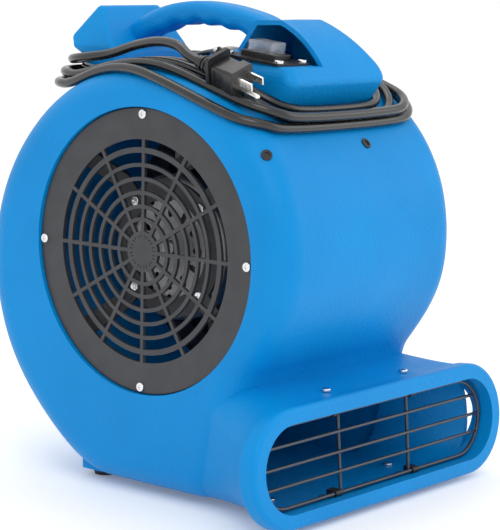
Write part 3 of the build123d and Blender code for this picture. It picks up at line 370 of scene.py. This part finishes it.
def cord_route():
    """The whole route: lead, turns, and the tail to the plug."""
    points = list(LEAD)
    for x, u, _ in rear_corner(LEAD_CORNER_X, REAR[0], 1)[::-1]:
        rise = smooth((u - LEAD_RISE_FROM) / LEAD_RISE_RUN)
        points.append((x, u, between(CORNER_LOW, REAR[0][1], rise)))
    for number in range(len(FRONT)):
        points += turn(number)
    u, v = REAR[-1]
    points += [(REAR_X, u, v), (-REAR_X, u, v)]
    for x, u, _ in rear_corner(TAIL_CORNER_X, REAR[-1], -1):
        drop = smooth((u - TAIL_DROP_FROM) / TAIL_DROP_RUN)
        points.append((x, u, between(CORNER_LOW, v, drop)))
    points += list(TAIL)
    for back in (PLUG_NECK + PLUG_STRAIGHT, PLUG_NECK):
        x, u, v = PLUG_FACE
        points.append((x, u + back * cos(PLUG_PITCH), v + back * sin(PLUG_PITCH)))
    return points


def tube(name, points, radius, material):
    """A round tube along a smooth curve through a list of mm points."""
    curve = bpy.data.curves.new(name, "CURVE")
    curve.dimensions = "3D"
    spline = curve.splines.new("NURBS")
    spline.points.add(len(points) - 1)
    for target, point in zip(spline.points, points):
        target.co = (*world(*point), 1)
    spline.order_u = 3
    spline.use_endpoint_u = True
    curve.resolution_u = 8
    curve.bevel_depth = radius * MM
    curve.bevel_resolution = 5
    curve.use_fill_caps = True
    piece = bpy.data.objects.new(name, curve)
    bpy.context.scene.collection.objects.link(piece)
    curve.materials.append(material)
    return piece


cord = tube("power_cord", cord_route(), CORD_R, JACKET)
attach(cord, "body")
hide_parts("cord_lead", "cord_bundle", "cord_tail")


# ---------------------------------------------------------------------------
# Studio: pale floor and world, three soft lamps, camera
# ---------------------------------------------------------------------------
FLOOR_SIZE = 30
FLOOR_GLOW = 0.12
WHITE = (1, 1, 1, 1)
WORLD_STRENGTH = 1.0
LAMP_TARGET = (0, 0, 0.2)
# each lamp's place, diameter and power
LAMPS = {
    "key": ((-1.6, -1.9, 2.0), 1.6, 17),
    "fill": ((1.6, -1.8, 1.2), 1.8, 8),
    "top": ((0.2, 0.6, 2.4), 1.6, 9),
}
CAMERA_AZIMUTH = radians(49.96)
CAMERA_ELEVATION = radians(8.68)
CAMERA_ROLL = radians(0.96)
CAMERA_PLACE = (-1.327, -1.133 + AXIS_Y * MM, 0.452)
CAMERA_SENSOR = 36
CAMERA_LENS = 136.7


def make_floor():
    bpy.ops.mesh.primitive_plane_add(size=FLOOR_SIZE, location=(0, 0, 0))
    floor = bpy.context.object
    floor.name = "studio_floor"
    material, _, shader = new_material("pale floor", (0.93, 0.93, 0.93, 1), 0.7)
    shader.inputs["Emission Color"].default_value = WHITE
    shader.inputs["Emission Strength"].default_value = FLOOR_GLOW
    floor.data.materials.append(material)


def area_light(name, place, size, power):
    light = bpy.data.lights.new(name, "AREA")
    light.shape = "DISK"
    light.size = size
    light.energy = power
    lamp = bpy.data.objects.new(name, light)
    bpy.context.scene.collection.objects.link(lamp)
    lamp.location = place
    toward = Vector(LAMP_TARGET) - Vector(place)
    lamp.rotation_euler = toward.to_track_quat("-Z", "Y").to_euler()


def make_world():
    space = bpy.data.worlds.new("studio")
    space.use_nodes = True
    background = space.node_tree.nodes["Background"]
    background.inputs["Color"].default_value = WHITE
    background.inputs["Strength"].default_value = WORLD_STRENGTH
    bpy.context.scene.world = space


def make_camera():
    """Camera at the view from the front left, slightly above and rolled."""
    forward = Vector((
        sin(CAMERA_AZIMUTH) * cos(CAMERA_ELEVATION),
        cos(CAMERA_AZIMUTH) * cos(CAMERA_ELEVATION),
        -sin(CAMERA_ELEVATION),
    ))
    right = Vector((cos(CAMERA_AZIMUTH), -sin(CAMERA_AZIMUTH), 0))
    up = right.cross(forward)
    rolled_right = right * cos(CAMERA_ROLL) + up * sin(CAMERA_ROLL)
    rolled_up = up * cos(CAMERA_ROLL) - right * sin(CAMERA_ROLL)
    data = bpy.data.cameras.new("camera")
    data.sensor_width = CAMERA_SENSOR
    data.lens = CAMERA_LENS
    camera = bpy.data.objects.new("camera", data)
    bpy.context.scene.collection.objects.link(camera)
    turn_matrix = Matrix((rolled_right, rolled_up, -forward)).transposed().to_4x4()
    camera.matrix_world = Matrix.Translation(CAMERA_PLACE) @ turn_matrix
    bpy.context.scene.camera = camera


make_floor()
make_world()
for name, (place, size, power) in LAMPS.items():
    area_light(name, place, size, power)
make_camera()
bpy.context.scene.view_settings.view_transform = "Standard"
